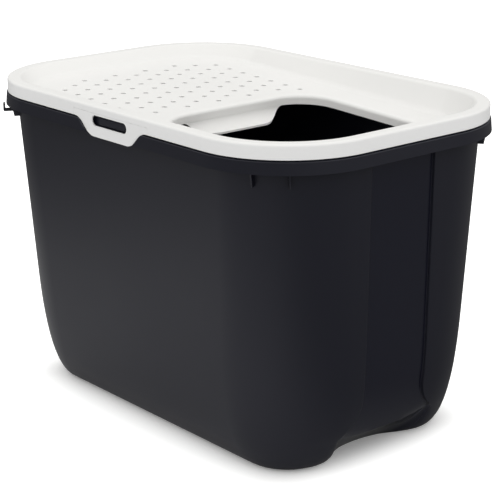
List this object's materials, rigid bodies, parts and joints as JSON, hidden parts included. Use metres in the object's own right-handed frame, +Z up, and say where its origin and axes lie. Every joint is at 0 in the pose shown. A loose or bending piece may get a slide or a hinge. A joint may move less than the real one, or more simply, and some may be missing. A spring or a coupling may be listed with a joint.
{
  "type": "top entry litter box",
  "caption": "Deep plastic litter tub with a lift-off lid. The lid is a sloping perforated deck in a raised rim, with a rounded entry hole at one end and a springy latch tab on each long side.",
  "frame": {"origin": "on the floor, under the middle of the box", "axes": "+Z up; +X along the box towards the end with the entry hole; the scoop hook is in the corner at -X, -Y"},
  "size_m": [0.5902, 0.3952, 0.395],
  "materials": {
    "bin_plastic": "satin, dark anthracite",
    "lid_plastic": "satin, white"
  },
  "bodies": {
    "bin": {"bin": "bin_plastic"},
    "lid": {"lid": "lid_plastic"},
    "front_tab": {"front_latch_tab": "lid_plastic"},
    "rear_tab": {"rear_latch_tab": "lid_plastic"}
  },
  "joints": [
    {"name": "lid_lift", "type": "slide", "parent": "bin", "child": "lid", "axis": [0, 0, 1], "range_m": [0, 0.08]},
    {"name": "front_tab_flex", "type": "hinge", "parent": "lid", "child": "front_tab", "pos_m": [0.0048, -0.195, 0.3865], "axis": [-1, 0, 0], "range_deg": [0, 8], "stiffness_Nm_per_rad": 1},
    {"name": "rear_tab_flex", "type": "hinge", "parent": "lid", "child": "rear_tab", "pos_m": [0.0048, 0.195, 0.3865], "axis": [1, 0, 0], "range_deg": [0, 8], "stiffness_Nm_per_rad": 1}
  ]
}
